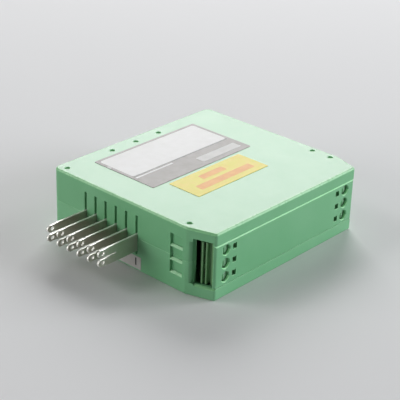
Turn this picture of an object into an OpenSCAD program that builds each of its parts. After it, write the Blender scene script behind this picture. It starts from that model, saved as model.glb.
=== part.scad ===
// Plug-in signal isolator lying on its flat side. Sizes are in millimetres.
// X runs from the contact blades to the far side, Y from the terminal front to the back,
// and Z is the thickness. The origin is the middle of the face that the housing rests on.

/* [Housing] */
// Width of the housing, from the blade side to the far side
body_w = 81; // [80:0.1:92]
// Depth of the housing, from the terminal front to the back
body_d = 74.8; // [73:0.1:84]
// Thickness of the closed housing
body_h = 25; // [24.6:0.1:30]
// Wall thickness of both half shells
wall = 2; // [1.6:0.1:2.2]
// Radius of the two upright edges at the back
back_corner_r = 2.5; // [1.2:0.1:4]
// Radius of the long edges round both flat faces
rim_r = 0.8; // [0.3:0.1:1]
// Length that each slanted corner takes off the front face
corner_x = 3.3; // [2.5:0.1:4]
// Length that each slanted corner takes off the side face
corner_y = 10.4; // [10:0.1:12]
// Radius where a side face turns into the slanted corner
corner_r = 3; // [1.2:0.1:5]
// Radius where the slanted corner turns into the front face
front_edge_r = 1; // [1:0.1:1.5]
// Width of the opening in each slanted corner, measured from the front edge
entry_s = 8.4; // [7.6:0.1:8.6]
// Radius that leads the wires round the edge of the corner opening
lead_in_r = 1.8; // [1:0.1:1.9]
// Height of the corner openings above the front opening
entry_lift = 1; // [0:0.1:1.2]
// Bevel along the lower edge of the corner openings
sill_bevel = 0.7; // [0.3:0.1:0.9]

/* [Marker windows] */
// Distance of the marker windows from the front face
window_y = 11.75; // [11:0.05:16]
// Width of a marker window along the side face
window_w = 5.55; // [4:0.05:7]
// Height of a marker window
window_h = 4.7; // [3:0.1:4.8]
// Height of a marker window's middle above its pole
window_lift = 0.6; // [0:0.05:0.8]
// Bevel along the lower edge of a marker window
window_sill = 0.7; // [0.3:0.1:0.9]
// Depth of a marker window
window_deep = 1; // [0.4:0.1:1.2]

/* [Snap pegs] */
// Radius of the pegs that join the half shells
peg_r = 0.85; // [0.6:0.05:1]
// Radial room of a peg in its sleeve
peg_room = 0.1; // [0.05:0.05:0.2]
// Wall of the sleeve round a peg
sleeve_wall = 0.95; // [0.7:0.05:1]
// Depth of the peg's end below the top face
peg_sink = 0.5; // [0.3:0.1:3]
// Distance of the side pegs from the side faces
peg_side = 2.9; // [2.4:0.1:3]
// Distance of the front pegs from the front face
peg_front = 11.6; // [11:0.1:11.8]
// Distance between the two pegs at the far front corner
peg_far_step = 8.3; // [6:0.1:12]
// Distance of the back pegs from the back face
peg_back = 4.2; // [3:0.1:4.4]
// Distance of the blade side's back peg from the back face
peg_back_corner = 4.3; // [3:0.1:4.4]
// Spacing of the three pegs along the back
peg_pitch = 12; // [8:0.1:15]
// Distance of the middle back peg from the blade side
peg_middle = 36.9; // [30:0.1:50]

/* [Front cover] */
// Height of the front cover
cover_h = 15.6; // [15.4:0.1:16.6]
// Thickness of the front cover
cover_t = 0.95; // [0.9:0.05:1.2]
// Depth of the cover's face below the front of the shells
cover_sink = 0.1; // [0.05:0.05:0.4]
// Bevel along the upper edge of the cover
cover_bevel = 0.5; // [0.2:0.1:0.6]
// Room between the cover and its neighbours
cover_room = 0.1; // [0.05:0.05:0.2]
// Radius of the driver holes
driver_r = 1.8; // [1.5:0.05:1.85]
// Bevel round the driver holes
driver_bevel = 0.3; // [0.1:0.05:0.5]
// Width of the square test holes
test_w = 2; // [1.4:0.1:2.1]
// Distance of the snap hooks from the middle of the cover
hook_x = 13; // [8:0.5:16]
// Width of a snap hook
hook_w = 5; // [3:0.5:7]
// Thickness of a snap hook's arm
hook_t = 1.2; // [0.8:0.1:1.4]
// Length of a snap hook behind the cover
hook_l = 2; // [1.6:0.1:2.4]
// Height of a snap hook's barb above the cover's edge
hook_catch = 0.7; // [0.3:0.1:0.8]

/* [Terminals] */
// Spacing of the poles
pole_pitch = 5; // [5:0.01:5.2]
// Distance of the screw axes from the side faces
screw_x = 8.35; // [8:0.05:9]
// Distance of the test holes from the side faces
test_x = 12.75; // [12.5:0.05:13.4]
// Distance of the terminal block's inner side from the side face
block_x = 14.4; // [14.2:0.1:15]
// Room above and below a terminal block in the front opening
block_room = 0.2; // [0.1:0.05:0.3]
// Radius of a clamp screw's head
head_r = 1.9; // [1.85:0.05:1.9]
// Radial room of a head in its bore
head_room = 0.1; // [0.05:0.01:0.1]
// Length of a clamp screw's head
head_l = 1; // [0.8:0.1:1.2]
// Width of the driver slot in a head
head_slot = 0.6; // [0.4:0.1:0.8]
// Depth of the driver slot in a head
head_slot_deep = 0.6; // [0.3:0.1:0.7]
// Radius of a clamp screw's thread
thread_r = 1.25; // [1:0.05:1.3]
// Radial room of the thread in its cage
thread_room = 0.05; // [0.02:0.01:0.08]
// Way that a cage rises when its screw is turned tight
clamp_travel = 1.6; // [1.2:0.1:1.7]
// Room that stays between moving clamp pieces and their neighbours
clamp_room = 0.2; // [0.15:0.05:0.22]
// Length of a cage along the wire
cage_l = 3.8; // [3.4:0.1:4]
// Width of a cage across the poles
cage_w = 3.7; // [3.5:0.05:3.75]
// Thickness of a cage's side walls
cage_wall = 0.4; // [0.3:0.05:0.45]
// Thickness of a cage's threaded roof
cage_roof = 0.8; // [0.6:0.1:1]
// Thickness of a cage's floor
cage_floor = 0.7; // [0.5:0.1:0.8]
// Thickness of the contact bars
bar_t = 0.7; // [0.5:0.1:0.8]
// Width of the contact bars
bar_w = 2.2; // [1.8:0.1:2.3]
// Width of a contact bar's solder tail
tail_w = 1.2; // [0.8:0.1:1.4]
// Spacing of the solder tails of one terminal block
tail_pitch = 2; // [1.8:0.1:2.2]
// Distance of the first solder tail from the terminal block
tail_gap = 1.5; // [1.2:0.1:2]
// Height of a wire passage
wire_h = 3.2; // [2.4:0.1:3.4]
// Distance of the pocket for the wires from the front edge, along the slanted corner
pocket_s = 2.5; // [2.3:0.1:3]
// Depth of the pocket's back below the slanted corner
pocket_deep = 3.3; // [3:0.1:3.4]
// Wall between the tall wire slot in the pocket's back and the clamps
slot_wall = 0.6; // [0.4:0.1:0.8]
// Width of the ribs in the pocket
rib_w = 0.6; // [0.5:0.1:0.8]
// Distance of the first rib from the front edge, along the slanted corner
rib_s = 4.1; // [4:0.05:4.3]
// Spacing of the two ribs
rib_pitch = 1.5; // [1.2:0.1:1.5]
// Depth of the ribs' faces below the slanted corner
rib_set = 1.6; // [1.2:0.1:2]

/* [Contact blades] */
// Spacing of the contact blades
blade_pitch = 5; // [5:0.01:5.2]
// Distance of the first blade from the front face
blade_y = 33.05; // [31:0.05:35]
// Height of the blades' lower edge
blade_z = 7.55; // [6.8:0.05:7.8]
// Width of a blade
blade_w = 6.5; // [5.6:0.05:7]
// Thickness of a blade
blade_t = 0.8; // [0.5:0.05:0.9]
// Length of the blades outside the housing
blade_l = 17.8; // [14:0.1:20]
// Length of the two prongs of a blade
prong_l = 8.1; // [6:0.1:10]
// Width of the slit between the prongs
slit_w = 0.45; // [0.3:0.05:0.8]
// Length of the narrow lug at the end of a prong
lug_l = 3.9; // [3:0.1:5]
// Radius of a lug's round end
lug_r = 1.3; // [1:0.05:1.35]
// Radius of the hole in a lug
lug_hole_r = 0.7; // [0.4:0.05:0.8]
// Distance of the hole from the lug's end
lug_hole_x = 2.1; // [1.8:0.1:2.4]
// Width of the slots in the housing wall
slot_w = 1; // [0.95:0.05:1.2]
// Height of the slots' lower end
slot_z = 6.1; // [5.7:0.05:6.5]
// Height of the slots' upper end
slot_top = 20.8; // [16:0.05:21]
// Width of a blade's solder tail
blade_tail_l = 1.4; // [1:0.1:1.8]
// Thickness of the blade carrier
carrier_t = 3.4; // [2.6:0.1:3.6]
// Height of the blade carrier above the board
carrier_h = 10; // [9.4:0.1:12]
// Margin of the blade carrier beyond the outer blades
carrier_margin = 3; // [2:0.1:4]
// Room of a blade in the carrier
blade_room = 0.05; // [0.03:0.01:0.1]

/* [Board] */
// Thickness of the circuit board
board_t = 1.6; // [1:0.1:1.8]
// Height of the board's upper face
board_z = 5.6; // [5.4:0.05:5.65]
// Distance of the board from the blade side
board_left = 3.5; // [3:0.1:3.8]
// Distance of the board from the far side
board_right = 4.9; // [4.8:0.1:5.5]
// Distance of the board from the back
board_back = 6.4; // [6:0.1:7]
// Distance of the board's front tongue from the front face
board_front = 4.8; // [4.7:0.05:5]
// Radius of the pegs that locate the board
locator_r = 1; // [0.8:0.1:1.1]
// Room round pegs, pins and tails in the board
board_room = 0.15; // [0.1:0.05:0.2]
// Radius of the pillars above and below the board
pillar_r = 2.3; // [1.8:0.1:2.5]
// Distance of the pillars from the middle of the housing
pillar_x = 30.5; // [29.5:0.1:31.5]
// Distance of the back pillars from the back face
pillar_back = 10.4; // [9.5:0.1:11.5]
// Distance of the front pillars from the front face
pillar_front = 18.4; // [17.8:0.1:19]
// Length of the locating pegs above the board
locator_stub = 1; // [0.5:0.1:2]
// Length of the solder pins below the board
pin_stub = 1.1; // [0.6:0.1:1.2]

/* [Components] */
// Width of the transformer's core
core_w = 20.2; // [19:0.1:21]
// Length of the transformer's core
core_l = 20.4; // [19:0.1:21]
// Thickness of the transformer's core
core_t = 6; // [5:0.1:6.2]
// Width of the core's middle leg
core_leg = 6; // [5:0.1:6.2]
// Width of the core's outer legs
core_side = 3.5; // [3:0.1:3.6]
// Width of the core's closed ends
core_end = 3.1; // [2.6:0.1:3.3]
// Height of the core above the board
core_lift = 3.8; // [3.4:0.1:4.5]
// Wall of the bobbin
bobbin_wall = 0.8; // [0.6:0.1:0.9]
// Room between the bobbin, the core and the windings
bobbin_room = 0.1; // [0.05:0.01:0.15]
// Depth of the windings
winding_deep = 2.2; // [1.6:0.1:2.3]
// Radius of the input capacitor
input_cap_r = 5; // [4:0.1:5.2]
// Room between the input capacitor and the ceiling
input_cap_room = 1.9; // [0.8:0.1:4]
// Radius of the output capacitor
output_cap_r = 4; // [3:0.1:4.3]
// Room between the output capacitor and the ceiling
output_cap_room = 5.4; // [0.8:0.1:7]
// Spacing of a chip's legs
chip_pitch = 2.54; // [2.4:0.01:2.6]
// Spacing of a chip's two rows of legs
chip_row = 7.62; // [7.4:0.01:8]
// Width of a chip's body
chip_w = 6.4; // [5.8:0.1:6.6]
// Length that a chip's body falls short of its legs' pitch
chip_end = 0.8; // [0.4:0.1:1.2]
// Height of a chip's body
chip_h = 3.3; // [2.8:0.1:3.8]
// Radius of a resistor
resistor_r = 1.2; // [0.9:0.05:1.4]
// Length of a resistor
resistor_l = 6.3; // [5:0.1:6.8]
// Radius of a diode
diode_r = 1.35; // [1:0.05:1.5]
// Length of a diode
diode_l = 5.2; // [4:0.1:6]
// Thickness of the voltage regulator's body
regulator_t = 4.4; // [3:0.1:5]
// Width of the voltage regulator
regulator_w = 10; // [8:0.1:10.5]
// Thickness of the voltage regulator's metal tab
tab_t = 1.3; // [0.8:0.1:1.5]
// Height of the tab above the regulator's body
tab_h = 6; // [4.6:0.1:7]
// Radius of the hole in the tab
tab_hole_r = 1.8; // [1.4:0.1:2]
// Room between the tab and the ceiling
tab_room = 1.8; // [1:0.1:2]
// Width of a film capacitor
film_w = 7.3; // [6:0.1:7.6]
// Thickness of a film capacitor
film_t = 2.6; // [2:0.1:3]
// Height of a film capacitor
film_h = 6.6; // [5:0.1:9]

/* [Labels] */
// Thickness of the labels
label_t = 0.12; // [0.08:0.01:0.2]
// Width of the rating label
label_w = 51.5; // [40:0.1:56]
// Depth of the rating label
label_d = 29.4; // [20:0.1:31]
// Distance of the rating label from the blade side
label_x = 13.05; // [10:0.05:16]
// Distance of the rating label from the back face
label_y = 7.3; // [6:0.05:9]
// Width of the coloured sticker
sticker_w = 36.5; // [25:0.1:40]
// Depth of the coloured sticker
sticker_d = 14.1; // [8:0.1:16]
// Distance of the coloured sticker from the blade side
sticker_x = 19.3; // [15:0.1:25]
// Distance between the coloured sticker and the rating label
sticker_gap = 1.5; // [0.5:0.05:9]
// Height of the pin number strip
strip_h = 4.7; // [3:0.1:4.8]
// Height of the strip's lower edge
strip_z = 0.9; // [0.8:0.1:1]

/* [Hidden] */
$fn = 48;

green = [0.36, 0.66, 0.45];
deep_green = [0.3, 0.56, 0.38];
tin = [0.76, 0.75, 0.71];
board_green = [0.1, 0.35, 0.2];
ferrite = [0.2, 0.2, 0.21];
copper = [0.72, 0.4, 0.2];
black = [0.08, 0.08, 0.09];

// Overlap of pieces that are one solid, and overrun of cuts past a face
join = 0.2;
cut = 1;

half_w = body_w / 2;
half_d = body_d / 2;
front_y = -half_d;
seam_z = body_h / 2;
ceiling_z = body_h - wall;
corner_l = norm([corner_x, corner_y]);
arc_steps = 6;
rim_steps = 3;
least_r = 0.08;

// Points of the arc that rounds the corner b between its neighbours a and c
function corner_arc(a, b, c, r) =
  let (
    u = (a - b) / norm(a - b),
    v = (c - b) / norm(c - b),
    half = acos(u * v) / 2,
    middle = b + (u + v) / norm(u + v) * r / sin(half),
    from = b + u * r / tan(half) - middle,
    to = b + v * r / tan(half) - middle,
    start = atan2(from[1], from[0]),
    turn = atan2(from[0] * to[1] - from[1] * to[0], from * to) / arc_steps
  )
  [for (i = [0:arc_steps]) middle + r * [cos(start + turn * i), sin(start + turn * i)]];

// X of the slanted corner's face on the blade side, moved in by inset, at the depth y
function slant_x(y, inset) =
  -half_w + corner_x * (1 - (y - front_y) / corner_y) + inset * corner_l / corner_y;
// Y where that face meets the side face, both moved in by inset
function slant_y(inset) =
  front_y + corner_y * (1 - (inset - inset * corner_l / corner_y) / corner_x);

// Corners of the housing's plan, moved in by inset, from the back of the blade side and round the front
function plan_corners(inset) =
  let (
    side = half_w - inset,
    back = half_d - inset,
    front = front_y + inset,
    edge = -slant_x(front, inset),
    turn = slant_y(inset)
  )
  [[-side, back], [-side, turn], [-edge, front], [edge, front], [side, turn], [side, back]];

// The same plan with its corners rounded
function plan(inset) =
  let (
    p = plan_corners(inset),
    r = [back_corner_r, corner_r, front_edge_r, front_edge_r, corner_r, back_corner_r]
  )
  [for (i = [0:5]) each corner_arc(p[(i + 5) % 6], p[i], p[(i + 1) % 6], max(r[i] - inset, least_r))];

// Rings of a half shell's outside, from its flat face over the rounded rim to the seam
rim_rings = [
  for (i = [0:rim_steps]) let (a = 90 * i / rim_steps)
    [for (p = plan(rim_r * (1 - sin(a)))) [p[0], p[1], rim_r * (1 - cos(a))]]
];
shell_rings = concat(rim_rings, [[for (p = plan(0)) [p[0], p[1], seam_z]]]);
ring_size = len(shell_rings[0]);

module half_outside() {
  last = len(shell_rings) - 1;
  polyhedron(
    points = [for (ring = shell_rings) each ring],
    faces = concat(
      [[for (i = [0:ring_size - 1]) i]],
      [for (k = [0:last - 1]) for (i = [0:ring_size - 1])
        let (n = (i + 1) % ring_size)
        [k * ring_size + n, k * ring_size + i, (k + 1) * ring_size + i, (k + 1) * ring_size + n]],
      [[for (i = [ring_size - 1:-1:0]) last * ring_size + i]]
    )
  );
}

// Puts a blade side's shape on the far side too
module both_sides() {
  children();
  mirror([1, 0, 0]) children();
}

// Local frame of the slanted corner: X runs along it from the front edge, Y runs into the housing
module at_slant() {
  translate([-half_w + corner_x, front_y, 0])
    rotate([0, 0, atan2(corner_y, -corner_x)])
      mirror([0, 1, 0]) children();
}

// Heights of the three poles
pole_zs = [for (k = [-1:1]) seam_z + k * pole_pitch];

// Front cover and the opening that it closes
cover_front = front_y + cover_sink;
cover_back = cover_front + cover_t;
cover_z = seam_z - cover_h / 2;
cover_top = cover_z + cover_h;
opening_z = cover_z - cover_room;
opening_h = cover_h + 2 * cover_room;
opening_y = front_y + entry_s * corner_y / corner_l;
entry_w = wall + corner_x + cut;
// Amount by which the lead-in's circle crosses the slanted face, so that the cut ends at an edge
lead_in_over = 0.03;

// Clamp, from the cover towards the back, with the cage let down
block_front = cover_back + cover_room;
head_front = block_front + clamp_room / 2;
head_back = head_front + head_l;
cage_tight = head_back + clamp_room + cover_room;
cage_front = cage_tight + clamp_travel;
bar_front = cage_front + cage_roof + clamp_room;
bar_back = bar_front + bar_t;
cage_floor_y = bar_back + clamp_travel + clamp_room + cover_room;
cage_back = cage_floor_y + cage_floor;
screw_axis_x = -half_w + screw_x;
cavity_l = cage_l + 2 * clamp_room;
cavity_w = cage_w + 2 * clamp_room;
bore_r = head_r + head_room;

// Tall wire slot behind the second rib, and the passages from it into the clamps
passage_front = bar_back + blade_room;
passage_l = cage_floor_y - passage_front;
slot_s = rib_s + rib_pitch + rib_w / 2;
slot_front = front_y + (slot_s * corner_y + pocket_deep * corner_x) / corner_l;
slot_x = screw_axis_x - cavity_l / 2 - slot_wall;

// Terminal block
block_inset = wall + cover_room;
block_right = -half_w + block_x;
block_back = cage_back + 2 * clamp_room;
block_z = opening_z + block_room;
block_h = opening_h - 2 * block_room;

// Pegs that join the shells
sleeve_r = peg_r + peg_room + sleeve_wall;
peg_side_x = half_w - peg_side;
peg_front_y = front_y + peg_front;
peg_row_x = -half_w + peg_middle;
pegs = concat(
  [[-peg_side_x, half_d - peg_back_corner], [-peg_side_x, peg_front_y]],
  [[peg_side_x, peg_front_y], [peg_side_x, peg_front_y + peg_far_step]],
  [for (k = [-1:1]) [peg_row_x + k * peg_pitch, half_d - peg_back]]
);
block_waist_x = -peg_side_x + sleeve_r + block_room;
block_waist_y = peg_front_y - sleeve_r - block_room;

// Board and what locates it
board_under = board_z - board_t;
board_left_x = -half_w + board_left;
board_right_x = half_w - board_right;
board_back_y = half_d - board_back;
board_step_y = peg_front_y + sleeve_r + board_room;
tongue_x = -block_right - board_room * 3;
board_front_y = front_y + board_front;
pillars = [
  for (x = [-pillar_x, pillar_x]) for (y = [front_y + pillar_front, half_d - pillar_back]) [x, y]
];
locator_h = board_t + locator_stub;
pin_z = board_under - pin_stub;

// Contact tails of one terminal block
tail_xs = [for (k = [0:2]) block_right + tail_gap + k * tail_pitch];

// Contact blades
blade_ys = [for (k = [0:5]) front_y + blade_y + k * blade_pitch];
blade_tip_x = -half_w - blade_l;
prong_w = (blade_w - slit_w) / 2;
carrier_x = -half_w + wall + cover_room;
carrier_back_x = carrier_x + carrier_t;
blade_tail_x = carrier_back_x + cover_room;
carrier_y = blade_ys[0] - carrier_margin;
carrier_d = 5 * blade_pitch + 2 * carrier_margin;

// Component places on the board, and lead sizes
transformer_at = [6, 6];
input_cap_at = [-20, 21.5];
output_cap_at = [22.5, 24];
bridge_at = [-20, 8];
regulator_at = [-20, -3];
isolation_at = [26, 3];
amplifier_at = [21, -15.5];
optocoupler_at = [6, -15];
lead_r = 0.3;
axial_lead_r = 0.22;
lead_hole_r = lead_r + board_room;
body_lift = 0.1;
core_z = board_z + core_lift + core_t / 2;

// Places of the repeated leads
cap_lead = 2.5;
bridge_leads = [for (x = [-chip_pitch, chip_pitch]) for (y = [-chip_row / 2, chip_row / 2]) [x, y]];
regulator_leads = [for (k = [-1:1]) [0, k * chip_pitch]];
resistor_front = 11.2;
resistor_y = front_y + resistor_front;
resistor_span = 8.9;
resistor_pitch = 4.8;
resistor_xs = [for (k = [-3.5:1:3.5]) k * resistor_pitch];
diode_at = [transformer_at[0], (transformer_at[1] + core_l / 2 + board_back_y) / 2];
diode_span = 10.16;
diode_pitch = 3.6;
diode_ys = [for (k = [-1:1]) diode_at[1] + k * diode_pitch];
film_at = [-13, -18.2];
film_span = 5.08;
film_pitch = 3.9;
film_ys = [for (k = [0:2]) film_at[1] + k * film_pitch];

// Leg places of a chip with count legs that runs along X, or along Y
function chip_legs(count, along_y) = [
  for (side = [-1, 1]) for (k = [0:count / 2 - 1])
    let (u = (k - (count / 2 - 1) / 2) * chip_pitch, v = side * chip_row / 2)
    along_y ? [v, u] : [u, v]
];
isolation_legs = chip_legs(16, true);
amplifier_legs = chip_legs(8, false);
optocoupler_legs = chip_legs(6, false);

// Pin places of the transformer
rail_y = core_l / 2 - core_end / 2;
bobbin_pin_pitch = 5;
bobbin_pins = [for (y = [-rail_y, rail_y]) for (k = [-1.5:1:1.5]) [k * bobbin_pin_pitch, y]];

// Front edge of the rating label
label_front_y = half_d - label_y - label_d;

function moved(list, by) = [for (p = list) p + by];
cap_leads = [[-cap_lead, 0], [cap_lead, 0]];
lead_places = concat(
  moved(bobbin_pins, transformer_at),
  moved(cap_leads, input_cap_at),
  moved(cap_leads, output_cap_at),
  moved(bridge_leads, bridge_at),
  moved(regulator_leads, regulator_at),
  moved(isolation_legs, isolation_at),
  moved(amplifier_legs, amplifier_at),
  moved(optocoupler_legs, optocoupler_at),
  [for (x = resistor_xs) for (s = [-1, 1]) [x, resistor_y + s * resistor_span / 2]],
  [for (y = diode_ys) for (s = [-1, 1]) [diode_at[0] + s * diode_span / 2, y]],
  [for (y = film_ys) for (s = [-1, 1]) [film_at[0] + s * film_span / 2, y]]
);

// A round bar along Z
module post(at, r, z, h) {
  translate([at[0], at[1], z]) cylinder(r = r, h = h);
}

// A round bar along Y
module bar_y(x, z, r, y, l) {
  translate([x, y, z]) rotate([-90, 0, 0]) cylinder(r = r, h = l);
}

// Cuts that both half shells share
module shell_cuts() {
  // Front opening for the cover and the terminal blocks
  translate([-half_w - cut, front_y - cut, opening_z])
    cube([body_w + 2 * cut, opening_y - front_y + cut, opening_h]);
  both_sides() {
    // Higher opening above the pocket in the slanted corner
    translate([-half_w - cut, block_front, opening_z + opening_h - join])
      cube([entry_w, opening_y - block_front, entry_lift + join]);
    // Bevelled lower edge of the corner opening
    at_slant()
      translate([-sill_bevel, 0, opening_z - sill_bevel]) rotate([45, 0, 0])
        cube([entry_s, 1.5 * sill_bevel, 1.5 * sill_bevel]);
    // Rounded edge that leads the wires into the corner opening
    translate([0, 0, opening_z + block_room])
      linear_extrude(opening_h - 2 * block_room)
        at_slant()
          difference() {
            translate([entry_s - join, -cut]) square([lead_in_r + join, lead_in_r + cut]);
            translate([entry_s + lead_in_r, lead_in_r - lead_in_over]) circle(lead_in_r);
          }
    // Marker windows of the three poles
    for (z = pole_zs)
      translate([-half_w, front_y + window_y, z + window_lift - window_h / 2]) {
        translate([-cut, 0, window_sill]) cube([cut + window_deep, window_w, window_h - window_sill]);
        translate([0, window_w, 0]) rotate([90, 0, 0]) linear_extrude(window_w)
          polygon([[-cut, -cut], [window_sill, window_sill], [window_sill, cut], [-cut, cut]]);
      }
  }
  // Slots of the contact blades
  for (y = blade_ys)
    translate([-half_w - cut, y - slot_w / 2, slot_z])
      cube([wall + 2 * cut, slot_w, slot_top - slot_z]);
}

// Pads that hold the terminal blocks, from z over the height h
module block_pads(z, h) {
  pad_l = block_x - screw_x;
  pad_w = 1.4;
  both_sides()
    for (y = [block_front + pad_w, block_waist_y - 2 * pad_w])
      translate([screw_axis_x - pad_l / 2, y, z]) cube([pad_l, pad_w, h]);
}

// Inside of the shells
module cavity(z, h) {
  translate([0, 0, z]) linear_extrude(h) polygon(plan(wall));
}

module lower_shell() {
  color(green) {
    difference() {
      union() {
        difference() {
          half_outside();
          cavity(wall, seam_z);
        }
        intersection() {
          for (p = pegs) post(p, sleeve_r, wall - join, seam_z - wall + join);
          linear_extrude(seam_z) polygon(plan(wall / 2));
        }
        block_pads(wall - join, block_z - wall + join);
        for (p = pillars) post(p, pillar_r, wall - join, board_under - wall + join);
      }
      shell_cuts();
    }
    for (p = pegs) post(p, peg_r, seam_z - join, body_h - peg_sink - seam_z + join);
    for (p = pillars) post(p, locator_r, board_under - join, locator_h + join);
  }
}

module upper_shell() {
  color(green)
    difference() {
      union() {
        difference() {
          translate([0, 0, body_h]) mirror([0, 0, 1]) half_outside();
          cavity(0, ceiling_z);
        }
        intersection() {
          for (p = pegs) post(p, sleeve_r, seam_z, ceiling_z - seam_z + join);
          linear_extrude(body_h) polygon(plan(wall / 2));
        }
        block_pads(block_z + block_h, ceiling_z - block_z - block_h + join);
        for (p = pillars) post(p, pillar_r, board_z, ceiling_z - board_z + join);
      }
      shell_cuts();
      for (p = pegs) post(p, peg_r + peg_room, seam_z - cut, body_h);
      for (p = pillars) post(p, locator_r + board_room, board_z - cut, locator_h + cut);
    }
}

module front_cover() {
  barb_l = cover_back + hook_l - (front_y + wall + cover_room);
  color(green)
    difference() {
      union() {
        intersection() {
          translate([0, 0, cover_z]) linear_extrude(cover_h) polygon(plan(cover_sink));
          translate([-half_w, cover_front - cut, 0]) cube([body_w, cover_t + cut, body_h]);
        }
        // Snap hooks behind the upper and the lower edge
        for (x = [-hook_x, hook_x])
          translate([x - hook_w / 2, 0, seam_z])
            for (up = [0, 1]) mirror([0, 0, up]) {
              translate([0, cover_back - join, cover_h / 2 - cover_room - hook_t])
                cube([hook_w, hook_l + join, hook_t]);
              translate([0, cover_back + hook_l - barb_l, cover_h / 2 - cover_room - join])
                cube([hook_w, barb_l, hook_catch + cover_room + join]);
            }
      }
      translate([-half_w, 0, 0]) rotate([90, 0, 90]) linear_extrude(body_w)
        polygon([
          [cover_front - cut, cover_top - cover_bevel - cut],
          [cover_front + cover_bevel + cut, cover_top + cut],
          [cover_front - cut, cover_top + cut]
        ]);
      both_sides()
        for (z = pole_zs) {
          bar_y(screw_axis_x, z, driver_r, cover_front - cut, cover_t + 2 * cut);
          translate([screw_axis_x, cover_front - join, z]) rotate([-90, 0, 0])
            cylinder(r1 = driver_r + driver_bevel + join, r2 = driver_r, h = driver_bevel + join);
          translate([-half_w + test_x - test_w / 2, cover_front - cut, z - test_w / 2])
            cube([test_w, cover_t + 2 * cut, test_w]);
        }
    }
}

// Terminal block of the blade side
module terminal_block() {
  color(deep_green)
    difference() {
      translate([0, 0, block_z]) linear_extrude(block_h) {
        difference() {
          polygon([
            [slant_x(block_front, block_inset), block_front],
            [block_right, block_front],
            [block_right, block_back],
            [block_waist_x, block_back],
            [block_waist_x, block_waist_y],
            [slant_x(block_waist_y, block_inset), block_waist_y]
          ]);
          // Pocket behind the slanted corner, with a tall slot in its back that the wires go into
          at_slant() translate([pocket_s, -cut]) square([corner_l, pocket_deep + cut]);
          translate([-half_w, slot_front]) square([slot_x + half_w, corner_y]);
        }
        // Ribs that show in the pocket
        at_slant()
          for (k = [0, 1])
            translate([rib_s + k * rib_pitch - rib_w / 2, rib_set])
              square([rib_w, pocket_deep - rib_set + join]);
      }
      for (z = pole_zs) {
        bar_y(screw_axis_x, z, bore_r, block_front - cut, head_back - block_front + cut);
        translate([screw_axis_x - cavity_l / 2, head_back, z - cavity_w / 2])
          cube([cavity_l, block_back - head_back + cut, cavity_w]);
        translate([slot_x - cut, passage_front, z - wire_h / 2])
          cube([slot_wall + clamp_room + cut, passage_l + blade_room, wire_h]);
        translate([screw_axis_x, bar_front - blade_room, z - bar_w / 2 - blade_room])
          cube([block_x, bar_t + 2 * blade_room, bar_w + 2 * blade_room]);
        translate([-half_w + test_x - test_w / 2, block_front - cut, z - test_w / 2])
          cube([test_w, bar_front - block_front + cut + join / 2, test_w]);
      }
    }
}

module left_terminal_block() {
  terminal_block();
}

module right_terminal_block() {
  mirror([1, 0, 0]) terminal_block();
}

// Clamp pieces 1 to 3 are on the blade side from the bottom up, 4 to 6 on the far side
module pole(number) {
  mirror([number > 3 ? 1 : 0, 0, 0])
    translate([0, 0, pole_zs[(number - 1) % 3]]) children();
}

module clamp_screw(number) {
  color(tin)
    pole(number)
      difference() {
        union() {
          bar_y(screw_axis_x, 0, head_r, head_front, head_l);
          bar_y(screw_axis_x, 0, thread_r, head_back - join, bar_front - clamp_room / 2 - head_back + join);
        }
        translate([screw_axis_x - head_slot / 2, head_front - cut, -head_r - cut])
          cube([head_slot, head_slot_deep + cut, 2 * (head_r + cut)]);
      }
}

module clamp_cage(number) {
  inside_w = cage_w - 2 * cage_wall;
  color(tin)
    pole(number)
      difference() {
        translate([screw_axis_x - cage_l / 2, cage_front, -cage_w / 2])
          cube([cage_l, cage_back - cage_front, cage_w]);
        translate([screw_axis_x - cage_l / 2 - cut, cage_front + cage_roof, -inside_w / 2])
          cube([cage_l + 2 * cut, cage_floor_y - cage_front - cage_roof, inside_w]);
        bar_y(screw_axis_x, 0, thread_r + thread_room, cage_front - cut, cage_roof + 2 * cut);
      }
}

module contact_bar(number) {
  level = (number - 1) % 3;
  bar_x = screw_axis_x - cage_l / 2;
  tail_x = tail_xs[level];
  color(tin)
    pole(number) {
      translate([bar_x, bar_front, -bar_w / 2])
        cube([tail_x + tail_w / 2 - bar_x, bar_t, bar_w]);
      translate([tail_x - tail_w / 2, bar_front, pin_z - pole_zs[level]])
        cube([tail_w, bar_t, pole_zs[level] - pin_z]);
    }
}

module blade_carrier() {
  color(black)
    difference() {
      translate([carrier_x, carrier_y, board_z]) cube([carrier_t, carrier_d, carrier_h]);
      for (y = blade_ys)
        translate([carrier_x - cut, y - blade_t / 2 - blade_room, blade_z - blade_room])
          cube([carrier_t + 2 * cut, blade_t + 2 * blade_room, blade_w + 2 * blade_room]);
    }
}

// Side view of a blade: a plate with two prongs outside and a solder tail inside
module blade_profile() {
  step_x = blade_tip_x + lug_l;
  difference() {
    union() {
      translate([step_x, blade_z]) square([blade_tail_x + blade_tail_l - step_x, blade_w]);
      translate([blade_tail_x, pin_z]) square([blade_tail_l, blade_z - pin_z + join]);
      for (k = [0, 1])
        translate([blade_tip_x, blade_z + prong_w / 2 + k * (prong_w + slit_w)]) {
          translate([lug_r, 0]) circle(lug_r);
          translate([lug_r, -lug_r]) square([lug_l - lug_r + join, 2 * lug_r]);
        }
    }
    translate([step_x - cut, blade_z + prong_w]) square([prong_l - lug_l + cut, slit_w]);
    for (k = [0, 1])
      translate([blade_tip_x + lug_hole_x, blade_z + prong_w / 2 + k * (prong_w + slit_w)])
        circle(lug_hole_r);
  }
}

module contact_blade(number) {
  color(tin)
    translate([0, blade_ys[number - 1] + blade_t / 2, 0]) rotate([90, 0, 0])
      linear_extrude(blade_t) blade_profile();
}

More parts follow.
